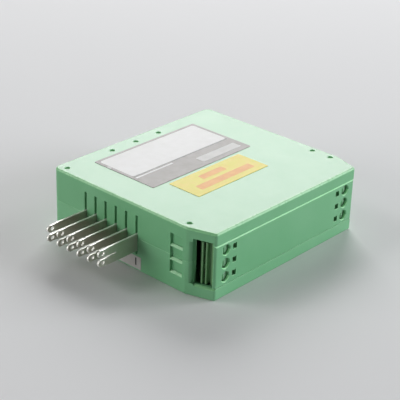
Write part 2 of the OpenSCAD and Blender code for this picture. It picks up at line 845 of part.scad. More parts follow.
module main_board() {
  color(board_green)
    difference() {
      translate([0, 0, board_under]) linear_extrude(board_t)
        polygon([
          [board_left_x, board_step_y],
          [-tongue_x, board_step_y],
          [-tongue_x, board_front_y],
          [tongue_x, board_front_y],
          [tongue_x, board_step_y],
          [board_right_x, board_step_y],
          [board_right_x, board_back_y],
          [board_left_x, board_back_y]
        ]);
      for (p = pillars) post(p, locator_r + board_room, board_under - cut, board_t + 2 * cut);
      for (p = lead_places) post(p, lead_hole_r, board_under - cut, board_t + 2 * cut);
      both_sides()
        for (x = tail_xs)
          translate([x - tail_w / 2 - board_room, bar_front - board_room, board_under - cut])
            cube([tail_w + 2 * board_room, bar_t + 2 * board_room, board_t + 2 * cut]);
      for (y = blade_ys)
        translate([blade_tail_x - board_room, y - blade_t / 2 - board_room, board_under - cut])
          cube([blade_tail_l + 2 * board_room, blade_t + 2 * board_room, board_t + 2 * cut]);
    }
}

// One half of the core, with its legs towards +Y from the closed end
module core_half() {
  half_l = core_l / 2 - bobbin_room / 2;
  translate([-core_w / 2, 0, -core_t / 2]) cube([core_w, core_end, core_t]);
  translate([-core_leg / 2, 0, -core_t / 2]) cube([core_leg, half_l, core_t]);
  for (x = [-core_w / 2, core_w / 2 - core_side])
    translate([x, 0, -core_t / 2]) cube([core_side, half_l, core_t]);
}

module at_transformer() {
  translate([transformer_at[0], transformer_at[1], core_z]) children();
}

module core_front() {
  color(ferrite) at_transformer() translate([0, -core_l / 2, 0]) core_half();
}

module core_back() {
  color(ferrite) at_transformer() mirror([0, 1, 0]) translate([0, -core_l / 2, 0]) core_half();
}

// Bobbin sizes: the tube round the middle leg, and the flanges at its ends and middle
tube_x = core_leg / 2 + bobbin_room;
tube_z = core_t / 2 + bobbin_room;
winding_x = tube_x + bobbin_wall + bobbin_room / 2;
winding_z = tube_z + bobbin_wall + bobbin_room / 2;
flange_x = core_w / 2 - core_side - bobbin_room;
flange_z = winding_z + winding_deep + bobbin_room;
bobbin_l = core_l - 2 * core_end - 2 * bobbin_room;
winding_l = (bobbin_l - 3 * bobbin_wall) / 2 - bobbin_room;

module bobbin() {
  color(black)
    at_transformer() {
      difference() {
        union() {
          translate([-tube_x - bobbin_wall, -bobbin_l / 2, -tube_z - bobbin_wall])
            cube([2 * (tube_x + bobbin_wall), bobbin_l, 2 * (tube_z + bobbin_wall)]);
          for (k = [-1:1])
            translate([-flange_x, k * (bobbin_l - bobbin_wall) / 2 - bobbin_wall / 2, -flange_z])
              cube([2 * flange_x, bobbin_wall, 2 * flange_z]);
        }
        translate([-tube_x, -bobbin_l, -tube_z]) cube([2 * tube_x, 2 * bobbin_l, 2 * tube_z]);
      }
      // Rails under the core's ends, which carry the pins
      rail_top = -core_t / 2 - bobbin_room;
      for (side = [0, 1])
        mirror([0, side, 0])
          translate([-core_w / 2, bobbin_l / 2 - bobbin_wall, board_z - core_z])
            cube([core_w, core_l / 2 - bobbin_l / 2 + bobbin_wall, rail_top - board_z + core_z]);
      for (p = bobbin_pins) post(p, lead_r, pin_z - core_z, board_z - pin_z + join);
    }
}

// Winding in the bobbin's front or back chamber
module winding(side) {
  outer_x = min(winding_x + winding_deep, flange_x);
  at_transformer()
    translate([0, side * (bobbin_wall / 2 + bobbin_room / 2 + winding_l / 2), 0])
      rotate([90, 0, 0])
        translate([0, 0, -winding_l / 2])
          linear_extrude(winding_l)
            difference() {
              square([2 * outer_x, 2 * (winding_z + winding_deep)], center = true);
              square([2 * winding_x, 2 * winding_z], center = true);
            }
}

module primary_winding() {
  color(copper) winding(-1);
}

module secondary_winding() {
  color(copper) winding(1);
}

// Round can on the board, with a groove near its foot and two leads
module round_capacitor(at, r, room) {
  h = ceiling_z - board_z - room;
  groove_z = 2;
  groove_h = 0.8;
  groove_deep = 0.4;
  vent_w = 0.5;
  vent_deep = 0.3;
  translate([at[0], at[1], board_z]) {
    difference() {
      cylinder(r = r, h = h);
      translate([0, 0, groove_z])
        difference() {
          cylinder(r = r + cut, h = groove_h);
          translate([0, 0, -cut]) cylinder(r = r - groove_deep, h = groove_h + 2 * cut);
        }
      // Cross-shaped vent in the lid
      for (a = [0, 90])
        rotate([0, 0, a]) translate([-r / 2, -vent_w / 2, h - vent_deep]) cube([r, vent_w, vent_deep + cut]);
    }
    for (p = cap_leads) post(p, lead_r, pin_z - board_z, board_z - pin_z + join);
  }
}

module input_capacitor() {
  color([0.12, 0.14, 0.3]) round_capacitor(input_cap_at, input_cap_r, input_cap_room);
}

module output_capacitor() {
  color([0.12, 0.14, 0.3]) round_capacitor(output_cap_at, output_cap_r, output_cap_room);
}

// Flat lead that leaves a body sideways and goes down through the board
module leg(at, z) {
  leg_w = 0.4;
  translate([at[0] - leg_w / 2, at[1] - leg_w / 2, pin_z]) cube([leg_w, leg_w, z - pin_z + leg_w / 2]);
}

// Chip body with its legs; size is its length and width on the board
module chip(at, size, legs, along_y) {
  notch_r = 0.8;
  notch_deep = 0.3;
  arm = 0.4;
  lift = 0.5;
  leg_z = board_z + lift + chip_h / 2;
  translate([at[0], at[1], 0]) {
    difference() {
      translate([-size[0] / 2, -size[1] / 2, board_z + lift]) cube([size[0], size[1], chip_h]);
      translate([along_y ? 0 : -size[0] / 2, along_y ? size[1] / 2 : 0, board_z + lift + chip_h - notch_deep])
        cylinder(r = notch_r, h = notch_deep + cut);
    }
    for (p = legs) {
      leg(p, leg_z);
      inner = along_y ? [sign(p[0]) * size[0] / 2, p[1]] : [p[0], sign(p[1]) * size[1] / 2];
      low = [min(p[0], inner[0]), min(p[1], inner[1])] - [arm / 2, arm / 2];
      high = [max(p[0], inner[0]), max(p[1], inner[1])] + [arm / 2, arm / 2];
      translate([low[0], low[1], leg_z - arm / 2]) cube([high[0] - low[0], high[1] - low[1], arm]);
    }
  }
}

module isolation_chip() {
  color(black) chip(isolation_at, [chip_w, 8 * chip_pitch - chip_end], isolation_legs, true);
}

module amplifier_chip() {
  color(black) chip(amplifier_at, [4 * chip_pitch - chip_end, chip_w], amplifier_legs, false);
}

module optocoupler() {
  color([0.9, 0.9, 0.86]) chip(optocoupler_at, [3 * chip_pitch + chip_end, chip_w], optocoupler_legs, false);
}

module bridge_rectifier() {
  color(black) chip(bridge_at, [3 * chip_pitch + chip_end, chip_w], bridge_leads, false);
}

// Upright regulator with a metal tab
module voltage_regulator() {
  lift = 0.6;
  top_z = ceiling_z - tab_room - tab_h;
  color(black)
    translate([regulator_at[0], regulator_at[1], 0]) {
      translate([-regulator_t / 2, -regulator_w / 2, board_z + lift])
        cube([regulator_t, regulator_w, top_z - board_z - lift]);
      translate([-regulator_t / 2, 0, top_z - join])
        difference() {
          translate([0, -regulator_w / 2, 0]) cube([tab_t, regulator_w, tab_h + join]);
          translate([-cut, 0, tab_h / 2 + join])
            rotate([0, 90, 0]) cylinder(r = tab_hole_r, h = tab_t + 2 * cut);
        }
      for (p = regulator_leads) leg(p, board_z + lift);
    }
}

module film_capacitors() {
  color([0.75, 0.2, 0.15])
    for (y = film_ys) {
      translate([film_at[0] - film_w / 2, y - film_t / 2, board_z + body_lift])
        cube([film_w, film_t, film_h]);
      for (s = [-1, 1])
        post([film_at[0] + s * film_span / 2, y], lead_r, pin_z, board_z + body_lift - pin_z + join);
    }
}

// Round body along X with a lead at each end that turns down into the board
module axial_part(r, l, span) {
  axis_z = board_z + body_lift + r;
  translate([-l / 2, 0, axis_z]) rotate([0, 90, 0]) cylinder(r = r, h = l);
  translate([-span / 2, 0, axis_z]) rotate([0, 90, 0]) cylinder(r = axial_lead_r, h = span);
  for (s = [-1, 1]) post([s * span / 2, 0], lead_r, pin_z, axis_z + lead_r - pin_z);
}

module resistors() {
  color([0.78, 0.66, 0.45])
    for (x = resistor_xs)
      translate([x, resistor_y, 0]) rotate([0, 0, 90]) axial_part(resistor_r, resistor_l, resistor_span);
}

module diodes() {
  color(black)
    for (y = diode_ys)
      translate([diode_at[0], y, 0]) axial_part(diode_r, diode_l, diode_span);
}

module rating_label() {
  color([0.92, 0.92, 0.92])
    translate([-half_w + label_x, label_front_y, body_h]) cube([label_w, label_d, label_t]);
}

module coloured_sticker() {
  color([0.97, 0.76, 0.3])
    translate([-half_w + sticker_x, label_front_y - sticker_gap - sticker_d, body_h])
      cube([sticker_w, sticker_d, label_t]);
}

module number_strip() {
  margin = blade_pitch / 2 - cover_room;
  color([0.93, 0.93, 0.93])
    translate([-half_w - label_t, blade_ys[0] - margin, strip_z])
      cube([label_t, 5 * blade_pitch + 2 * margin, strip_h]);
}

lower_shell();
upper_shell();
front_cover();
left_terminal_block();
right_terminal_block();
for (n = [1:6]) {
  clamp_screw(n);
  clamp_cage(n);
  contact_bar(n);
  contact_blade(n);
}
blade_carrier();
main_board();
core_front();
core_back();
bobbin();
primary_winding();
secondary_winding();
input_capacitor();
output_capacitor();
bridge_rectifier();
voltage_regulator();
isolation_chip();
amplifier_chip();
optocoupler();
film_capacitors();
resistors();
diodes();
rating_label();
coloured_sticker();
number_strip();
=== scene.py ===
import math

import bmesh
import bpy
from mathutils import Matrix, Vector


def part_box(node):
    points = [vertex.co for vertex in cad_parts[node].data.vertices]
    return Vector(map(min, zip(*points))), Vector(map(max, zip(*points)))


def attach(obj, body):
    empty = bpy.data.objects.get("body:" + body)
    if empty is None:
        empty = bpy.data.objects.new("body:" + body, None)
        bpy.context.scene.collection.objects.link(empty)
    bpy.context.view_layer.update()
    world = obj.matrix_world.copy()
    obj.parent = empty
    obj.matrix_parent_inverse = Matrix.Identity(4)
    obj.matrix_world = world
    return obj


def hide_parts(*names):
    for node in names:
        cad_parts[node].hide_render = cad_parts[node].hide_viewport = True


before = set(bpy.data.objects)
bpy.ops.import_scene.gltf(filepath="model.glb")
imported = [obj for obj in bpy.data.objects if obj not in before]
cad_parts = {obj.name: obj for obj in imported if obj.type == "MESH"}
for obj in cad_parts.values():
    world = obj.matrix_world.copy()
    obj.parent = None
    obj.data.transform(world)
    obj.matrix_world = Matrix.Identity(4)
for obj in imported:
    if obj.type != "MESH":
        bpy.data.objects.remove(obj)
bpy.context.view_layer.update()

# Lower half shell: an open tray of green polyamide, injection moulded in a spark-eroded tool.
# It rests on the bench and its pegs hold the upper shell. Its edges have the small radius of a
# moulding. Its broken edges, rims and sills are coloured paler than its faces: a painted highlight.
MM = 0.001
# Painted light: the lower shell is a little paler than the upper shell, to lift the shade near the floor
GREEN_LOW = (0.170, 0.450, 0.228, 1.0)
GREEN_LOW_DUSTY = (0.194, 0.478, 0.256, 1.0)
# Painted highlight: the rims and sills take this paler green
GREEN_RIM_HIGHLIGHT = (0.250, 0.600, 0.285, 1.0)
GREEN_RIM_HIGHLIGHT_WORN = (0.290, 0.640, 0.325, 1.0)
# Painted light: the tops of the pegs and the walls of their holes take this paler green to lift their
# shade
GREEN_PEG_PAINTED_LIGHT = (0.420, 0.800, 0.460, 1.0)
GREEN_PEG_PAINTED_LIGHT_WORN = (0.470, 0.840, 0.510, 1.0)
# Painted highlight: the broken edges take this paler green
GREEN_EDGE_HIGHLIGHT = (0.190, 0.490, 0.245, 1.0)
GREEN_EDGE_HIGHLIGHT_WORN = (0.235, 0.540, 0.290, 1.0)
PLASTIC_ROUGH = 0.33
RIM_ROUGH = 0.28
EDGE_ROUGH = 0.30
PLASTIC_IOR = 1.5
# Size and detail of the dust, of the uneven gloss and of the eroded grain
DUST = (14 * MM, 4.0)
GLOSS = (2.2 * MM, 5.0)
EROSION = (0.28 * MM, 2.0)
DUST_RANGE = (0.35, 0.75)
GLOSS_CHANGE = 0.02
EROSION_DEPTH = 0.0025 * MM
EDGE_R = 0.14 * MM
EDGE_STEPS = 2
CORNER_R = 0.7 * MM
CORNER_STEPS = 3
# Convex edges sharper than SHARP are broken, other edges sharper than CREASE stay crisp
SHARP = math.radians(48)
CREASE = math.radians(30)
FLAT_ANGLE = math.radians(0.4)
PLANE_SLACK = 0.02 * MM
WELD_GAP = 0.002 * MM
FACE_WEIGHT = 100
# Limits on the upward part of a direction: of an upright edge, a tilted rim and a face that looks up
UPRIGHT = 0.5
RIM_TILTS = (0.12, 0.97)
LOOKS_UP = 0.9
RIM_INDEX = 1
PEG_INDEX = 2
PEG_LEVEL = 22 * MM


def new_material(name, **values):
    """A material with its shader's plain sockets set; gives the material, its tree and its shader."""
    material = bpy.data.materials.new(name)
    material.use_nodes = True
    tree = material.node_tree
    shader = tree.nodes["Principled BSDF"]
    for socket, value in values.items():
        shader.inputs[socket.replace("_", " ")].default_value = value
    return material, tree, shader


def grain(tree, size, detail, stretch=(1.0, 1.0, 1.0)):
    """A noise fixed to the piece, with features about size across and stretched along the axes."""
    place = tree.nodes.new("ShaderNodeTexCoord")
    mapping = tree.nodes.new("ShaderNodeMapping")
    mapping.inputs["Scale"].default_value = [1.0 / (size * s) for s in stretch]
    tree.links.new(place.outputs["Object"], mapping.inputs["Vector"])
    noise = tree.nodes.new("ShaderNodeTexNoise")
    noise.inputs["Scale"].default_value = 1.0
    noise.inputs["Detail"].default_value = detail
    tree.links.new(mapping.outputs["Vector"], noise.inputs["Vector"])
    return noise.outputs["Fac"]


def spread(tree, value, low, high, start=0.3, end=0.7):
    """Takes a noise from start..end to low..high."""
    ramp = tree.nodes.new("ShaderNodeMapRange")
    ramp.inputs["From Min"].default_value = start
    ramp.inputs["From Max"].default_value = end
    ramp.inputs["To Min"].default_value = low
    ramp.inputs["To Max"].default_value = high
    tree.links.new(value, ramp.inputs["Value"])
    return ramp.outputs["Result"]


def two_tone(tree, shader, value, first, second):
    """Colours the shader from first to second by a value from 0 to 1."""
    mix = tree.nodes.new("ShaderNodeMix")
    mix.data_type = "RGBA"
    mix.inputs["A"].default_value = first
    mix.inputs["B"].default_value = second
    tree.links.new(value, mix.inputs["Factor"])
    tree.links.new(mix.outputs["Result"], shader.inputs["Base Color"])


def relief(tree, shader, value, depth):
    """Gives the surface a relief of that depth from a value from 0 to 1."""
    bump = tree.nodes.new("ShaderNodeBump")
    bump.inputs["Strength"].default_value = 1.0
    bump.inputs["Distance"].default_value = depth
    tree.links.new(value, bump.inputs["Height"])
    tree.links.new(bump.outputs["Normal"], shader.inputs["Normal"])


def satin_plastic(name, colour, dusty, rough):
    """Moulded plastic: a fine eroded grain, a little dust in the colour and an uneven gloss."""
    material, tree, shader = new_material(name, IOR=PLASTIC_IOR)
    two_tone(tree, shader, spread(tree, grain(tree, *DUST), 0.0, 1.0, *DUST_RANGE), colour, dusty)
    gloss = spread(tree, grain(tree, *GLOSS), rough - GLOSS_CHANGE, rough + GLOSS_CHANGE)
    tree.links.new(gloss, shader.inputs["Roughness"])
    relief(tree, shader, grain(tree, *EROSION), EROSION_DEPTH)
    return material


def show(name, mesh, body, node=None):
    """Puts a mesh in the scene as a piece that rides on a body, in place of a solid if one is named."""
    piece = bpy.data.objects.new(name, mesh)
    bpy.context.scene.collection.objects.link(piece)
    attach(piece, body)
    if node:
        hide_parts(node)
    return piece


def on_outside(shape, face):
    """Whether the whole mesh lies behind a face's plane, as it does for the outer walls of a housing."""
    start = face.verts[0].co
    return all((vert.co - start).dot(face.normal) < PLANE_SLACK for vert in shape.verts)


def moulding(node, materials, edge=EDGE_R, corner=None, body="housing", rim=False):
    """The piece that shows for a solid: the same shape with clean faces, broken edges and even shading.
    The edges take the last material, and with rim the tilted faces of rims and sills the second; where
    these are paler than the first, they are a painted highlight.
    With corner, the upright edges between outer walls have that larger radius."""
    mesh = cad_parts[node].data.copy()
    mesh.materials.clear()
    for material in materials:
        mesh.materials.append(material)
    shape = bmesh.new()
    shape.from_mesh(mesh)
    bmesh.ops.remove_doubles(shape, verts=shape.verts, dist=WELD_GAP)
    bmesh.ops.dissolve_limit(shape, angle_limit=FLAT_ANGLE, verts=shape.verts, edges=shape.edges)
    for line in shape.edges:
        line.smooth = True
    for face in shape.faces:
        face.smooth = True
        # Faces that tilt up towards the lamps can take the paler rim material, a painted highlight
        tilted = RIM_TILTS[0] < face.normal.z < RIM_TILTS[1]
        face.material_index = RIM_INDEX if rim and tilted else 0
    width = corner or edge
    weights = shape.edges.layers.float.new("bevel_weight_edge")
    for line in shape.edges:
        if len(line.link_faces) != 2 or line.calc_face_angle() < CREASE:
            continue
        if not line.is_convex or line.calc_face_angle() < SHARP:
            line.smooth = False
            continue
        along = (line.verts[1].co - line.verts[0].co).normalized()
        upright = corner and abs(along.z) > UPRIGHT
        outer = upright and all(on_outside(shape, face) for face in line.link_faces)
        line[weights] = 1.0 if outer else edge / width
    shape.to_mesh(mesh)
    shape.free()
    if "custom_normal" in mesh.attributes:
        mesh.attributes.remove(mesh.attributes["custom_normal"])
    piece = show(node + "_moulding", mesh, body, node)
    broken = piece.modifiers.new("broken edges", "BEVEL")
    broken.width = width
    broken.segments = CORNER_STEPS if corner else EDGE_STEPS
    broken.limit_method = "WEIGHT"
    broken.use_clamp_overlap = False
    broken.material = len(materials) - 1
    even = piece.modifiers.new("even shading", "WEIGHTED_NORMAL")
    even.weight = FACE_WEIGHT
    even.keep_sharp = True
    return piece


green_low = satin_plastic("green_low", GREEN_LOW, GREEN_LOW_DUSTY, PLASTIC_ROUGH)
green_rim_highlight = satin_plastic("green_rim_highlight", GREEN_RIM_HIGHLIGHT, GREEN_RIM_HIGHLIGHT_WORN, RIM_ROUGH)
green_peg_painted_light = satin_plastic("green_peg_painted_light", GREEN_PEG_PAINTED_LIGHT, GREEN_PEG_PAINTED_LIGHT_WORN, PLASTIC_ROUGH)
green_edge_highlight = satin_plastic("green_edge_highlight", GREEN_EDGE_HIGHLIGHT, GREEN_EDGE_HIGHLIGHT_WORN, EDGE_ROUGH)
low_finish = (green_low, green_rim_highlight, green_peg_painted_light, green_edge_highlight)
lower_shell = moulding("lower_shell", low_finish, corner=CORNER_R, rim=True)
# The tops of the pegs, coloured paler to lift the shade of the holes over them: painted light
for face in lower_shell.data.polygons:
    if face.center.z > PEG_LEVEL and face.normal.z > LOOKS_UP:
        face.material_index = PEG_INDEX

# Circuit board: a glass and resin laminate with copper tracks under green solder resist.
# It drops onto four pillars of the lower shell.
RESIST = (0.012, 0.130, 0.045, 1.0)
RESIST_ON_COPPER = (0.040, 0.260, 0.090, 1.0)
RESIST_ROUGH = 0.28
TRACK_PITCH = 1.6 * MM
TRACK_EDGE = (0.72, 0.78)
COPPER_T = 0.03 * MM


def dress(node, material):
    """Gives a solid that keeps its own shape its material."""
    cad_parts[node].material_slots[0].material = material


board_resist, tree, shader = new_material("board_resist", Roughness=RESIST_ROUGH)
place = tree.nodes.new("ShaderNodeTexCoord")
tracks = tree.nodes.new("ShaderNodeTexVoronoi")
tracks.distance = "MANHATTAN"
tracks.feature = "F2"
tracks.inputs["Scale"].default_value = 1.0 / TRACK_PITCH
tree.links.new(place.outputs["Object"], tracks.inputs["Vector"])
copper_under = spread(tree, tracks.outputs["Distance"], 0.0, 1.0, *TRACK_EDGE)
two_tone(tree, shader, copper_under, RESIST, RESIST_ON_COPPER)
relief(tree, shader, copper_under, COPPER_T)
dress("main_board", board_resist)

# Isolating transformer: two ground halves of grey ferrite, closed round a black bobbin that holds
# two windings of enamelled copper wire. The bobbin's pins stand in the board.
FERRITE = (0.028, 0.028, 0.030, 1.0)
FERRITE_PALE = (0.060, 0.060, 0.063, 1.0)
FERRITE_ROUGH = 0.62
FERRITE_SPECKS = (0.35 * MM, 4.0)
SPECK_DEPTH = 0.02 * MM
BLACK = (0.012, 0.012, 0.013, 1.0)
BLACK_DUSTY = (0.022, 0.022, 0.023, 1.0)
BLACK_ROUGH = 0.45
ENAMEL = (0.42, 0.15, 0.045, 1.0)
# Painted highlight: the crests of the turns take this brighter enamel
ENAMEL_BRIGHT = (0.70, 0.32, 0.11, 1.0)
ENAMEL_ROUGH = 0.3
WIRE_D = 0.35 * MM
WIRE_RELIEF = WIRE_D / 3
WIRE_WANDER = 0.6
# Length over which a wave texture of scale 1 repeats
WAVE_LENGTH = math.pi / 10

ferrite, tree, shader = new_material("ferrite", Roughness=FERRITE_ROUGH)
specks = grain(tree, *FERRITE_SPECKS)
two_tone(tree, shader, spread(tree, specks, 0.0, 1.0), FERRITE, FERRITE_PALE)
relief(tree, shader, specks, SPECK_DEPTH)
for half in ("front", "back"):
    dress("core_" + half, ferrite)

black_plastic = satin_plastic("black_plastic", BLACK, BLACK_DUSTY, BLACK_ROUGH)
dress("bobbin", black_plastic)

enamelled_wire, tree, shader = new_material("enamelled_wire", Metallic=1.0, Roughness=ENAMEL_ROUGH)
place = tree.nodes.new("ShaderNodeTexCoord")
turns = tree.nodes.new("ShaderNodeTexWave")
turns.bands_direction = "Y"
turns.inputs["Scale"].default_value = WAVE_LENGTH / WIRE_D
turns.inputs["Distortion"].default_value = WIRE_WANDER
tree.links.new(place.outputs["Object"], turns.inputs["Vector"])
# Painted light: the turns are coloured brighter on their crests and darker in the grooves between them
two_tone(tree, shader, turns.outputs["Fac"], ENAMEL, ENAMEL_BRIGHT)
relief(tree, shader, turns.outputs["Fac"], WIRE_RELIEF)
for winding in ("primary", "secondary"):
    dress(winding + "_winding", enamelled_wire)

# Parts soldered to the board: chips, rectifier, regulator and diodes in black moulding resin,
# capacitors in blue shrunk sleeves, a white optocoupler, and dipped or lacquered small parts.
SLEEVE_BLUE = (0.012, 0.020, 0.085, 1.0)
SLEEVE_FADED = (0.020, 0.032, 0.120, 1.0)
SLEEVE_ROUGH = 0.22
OPTO_WHITE = (0.78, 0.78, 0.72, 1.0)
OPTO_SOILED = (0.66, 0.66, 0.60, 1.0)
OPTO_ROUGH = 0.4
DIP_RED = (0.46, 0.030, 0.016, 1.0)
DIP_RED_THIN = (0.60, 0.070, 0.035, 1.0)
DIP_ROUGH = 0.16
LACQUER = (0.56, 0.38, 0.17, 1.0)
LACQUER_BAND = (0.16, 0.035, 0.020, 1.0)
LACQUER_ROUGH = 0.3
# Size, detail and stretch of the bands
BANDS = (1.1 * MM, 0.0, (20.0, 1.0, 20.0))
BAND_EDGE = (0.58, 0.62)
LACQUER_RUNS = (0.5 * MM, 2.0)
LACQUER_DEPTH = 0.01 * MM

for part in ("bridge_rectifier", "voltage_regulator", "isolation_chip", "amplifier_chip", "diodes"):
    dress(part, black_plastic)

sleeve = satin_plastic("blue_sleeve", SLEEVE_BLUE, SLEEVE_FADED, SLEEVE_ROUGH)
for side in ("input", "output"):
    dress(side + "_capacitor", sleeve)

dress("optocoupler", satin_plastic("white_plastic", OPTO_WHITE, OPTO_SOILED, OPTO_ROUGH))
dress("film_capacitors", satin_plastic("dipped_resin", DIP_RED, DIP_RED_THIN, DIP_ROUGH))

banded_lacquer, tree, shader = new_material("banded_lacquer", Roughness=LACQUER_ROUGH)
bands = spread(tree, grain(tree, *BANDS), 0.0, 1.0, *BAND_EDGE)
two_tone(tree, shader, bands, LACQUER, LACQUER_BAND)
relief(tree, shader, grain(tree, *LACQUER_RUNS), LACQUER_DEPTH)
dress("resistors", banded_lacquer)

# Terminal blocks: deeper green mouldings that stand behind the slanted corners, each with a ribbed
# pocket for three wires. Each holds three contact bars of plated brass whose tails reach the board.
BLOCK_GREEN = (0.125, 0.290, 0.120, 1.0)
BLOCK_DUSTY = (0.155, 0.325, 0.150, 1.0)
BLOCK_ROUGH = 0.45
BLOCK_EDGE_R = 0.08 * MM
BRASS_PLATE = (0.56, 0.50, 0.36, 1.0)
BRASS_PLATE_DULL = (0.42, 0.36, 0.25, 1.0)
BRASS_METAL = 1.0
BRASS_ROUGH = (0.24, 0.42)
BRASS_PATCHES = (0.8 * MM, 4.0)
BRASS_SMEARS = (0.3 * MM, 3.0)
CLAMPS = range(1, 7)

block_plastic = satin_plastic("block_plastic", BLOCK_GREEN, BLOCK_DUSTY, BLOCK_ROUGH)
for side in ("left", "right"):
    moulding(side + "_terminal_block", (block_plastic,), BLOCK_EDGE_R)


def plated(name, metal, first, second, patches, smears, rough):
    """Plated metal: patches of two tones, and smears between two roughnesses."""
    material, tree, shader = new_material(name, Metallic=metal)
    two_tone(tree, shader, spread(tree, grain(tree, *patches), 0.0, 1.0), first, second)
    tree.links.new(spread(tree, grain(tree, *smears), *rough), shader.inputs["Roughness"])
    return material


plated_brass = plated(
    "plated_brass", BRASS_METAL, BRASS_PLATE, BRASS_PLATE_DULL,
    BRASS_PATCHES, BRASS_SMEARS, BRASS_ROUGH,
)
for number in CLAMPS:
    dress("contact_bar_%d" % number, plated_brass)

# Clamps: each zinc plated screw turns in its bore of the block and draws its cage, folded from
# plated brass, against the contact bar. The zinc is coloured green: a painted reflection of the
# green plastic round the heads.
# Painted reflection: the zinc is coloured green for the green plastic round the heads
ZINC = (0.27, 0.52, 0.32, 1.0)
ZINC_BRIGHT = (0.36, 0.64, 0.42, 1.0)
ZINC_METAL = 0.55
ZINC_ROUGH = (0.34, 0.5)
ZINC_PATCHES = (0.9 * MM, 4.0)
ZINC_SMEARS = (0.4 * MM, 3.0)
SCREW_EDGE_R = 0.08 * MM

zinc_plate = plated("zinc_plate", ZINC_METAL, ZINC, ZINC_BRIGHT, ZINC_PATCHES, ZINC_SMEARS, ZINC_ROUGH)
for number in CLAMPS:
    screw = "screw_%d" % number
    moulding("clamp_" + screw, (zinc_plate,), SCREW_EDGE_R, body=screw)
    dress("clamp_cage_%d" % number, plated_brass)

# Contact blades: stamped bronze strip with a bright tin plate, each forked into two prongs with a
# holed lug. They stand in a black carrier behind the slots of the wall. Their edges are coloured
# paler and less metallic than the sides: a painted highlight.
TIN = (0.64, 0.62, 0.55, 1.0)
TIN_WORN = (0.58, 0.55, 0.47, 1.0)
TIN_METAL = 0.7
TIN_ROUGH = (0.30, 0.36)
TIN_EDGE_HIGHLIGHT = (0.92, 0.92, 0.87, 1.0)
TIN_EDGE_HIGHLIGHT_WORN = (0.84, 0.84, 0.78, 1.0)
TIN_EDGE_METAL = 0.35
TIN_EDGE_ROUGH = (0.24, 0.32)
# Size, detail and stretch of the patches and of the streaks along the strip
TIN_PATCHES = (2.4 * MM, 3.0, (3.0, 1.0, 1.0))
TIN_STREAKS = (0.6 * MM, 2.0, (8.0, 1.0, 1.0))
BLADE_EDGE_R = 0.12 * MM
LOOKS_SIDEWAYS = 0.9
BLADES = range(1, 7)

dress("blade_carrier", black_plastic)
tin_plate = plated("tin_plate", TIN_METAL, TIN, TIN_WORN, TIN_PATCHES, TIN_STREAKS, TIN_ROUGH)
tin_edge_highlight = plated(
    "tin_edge_highlight", TIN_EDGE_METAL, TIN_EDGE_HIGHLIGHT, TIN_EDGE_HIGHLIGHT_WORN,
    TIN_PATCHES, TIN_STREAKS, TIN_EDGE_ROUGH,
)
for number in BLADES:
    blade = moulding("contact_blade_%d" % number, (tin_plate, tin_edge_highlight), BLADE_EDGE_R)
    # The faces other than the sides take the pale tin: a painted highlight along the edges
    for face in blade.data.polygons:
        face.material_index = 0 if abs(face.normal.y) > LOOKS_SIDEWAYS else 1

# Upper half shell: the same green plastic, pressed down over the pegs of the lower one, which show
# in seven small holes of its top.
GREEN = (0.150, 0.420, 0.205, 1.0)
GREEN_DUSTY = (0.172, 0.446, 0.230, 1.0)
HOLE_REACH = 0.05 * MM
WALL_TILT = 0.1

green_plastic = satin_plastic("green_plastic", GREEN, GREEN_DUSTY, PLASTIC_ROUGH)
top_finish = (green_plastic, green_rim_highlight, green_peg_painted_light, green_edge_highlight)
upper_shell = moulding("upper_shell", top_finish, corner=CORNER_R, rim=True)
# The walls of the holes, the only upright faces that reach the top, coloured paler to lift their shade:
# painted light
hole_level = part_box("upper_shell")[1][2] - HOLE_REACH
for face in upper_shell.data.polygons:
    reach = max(upper_shell.data.vertices[index].co.z for index in face.vertices)
    if abs(face.normal.z) < WALL_TILT and reach > hole_level:
        face.material_index = PEG_INDEX

# Front cover: a green strip snapped in over the terminals, with a driver hole and a square test
# hole for each clamp. Its edges and the faces that tilt upwards are coloured much paler than its face: a
# painted highlight.
COVER_EDGE_R = 0.09 * MM
GREEN_LIP_HIGHLIGHT = (0.380, 0.840, 0.430, 1.0)
GREEN_LIP_HIGHLIGHT_WORN = (0.430, 0.870, 0.480, 1.0)

green_lip_highlight = satin_plastic("green_lip_highlight", GREEN_LIP_HIGHLIGHT, GREEN_LIP_HIGHLIGHT_WORN, RIM_ROUGH)
moulding("front_cover", (green_plastic, green_lip_highlight), COVER_EDGE_R, rim=True)

# Rating label: a printed film stuck on the top. Its dark ground carries a white field, a thin dark
# line, a white rule, a plain pale bar and a pale mark on the left edge.
LABEL_GROUND = (0.135, 0.118, 0.100, 1.0)
LABEL_GROUND_WORN = (0.170, 0.155, 0.138, 1.0)
LABEL_WHITE = (0.62, 0.62, 0.62, 1.0)
LABEL_WHITE_SOILED = (0.58, 0.58, 0.575, 1.0)
LABEL_DARK = (0.030, 0.030, 0.030, 1.0)
LABEL_DARK_WORN = (0.060, 0.058, 0.055, 1.0)
LABEL_PALE = (0.46, 0.46, 0.45, 1.0)
LABEL_PALE_WORN = (0.38, 0.38, 0.37, 1.0)
LABEL_SHINE = 0.36
DARK_ROUGH = 0.36
PALE_ROUGH = 0.38
# Places of the inks among the film's materials
WHITE_INK = 1
DARK_INK = 2
PALE_INK = 3
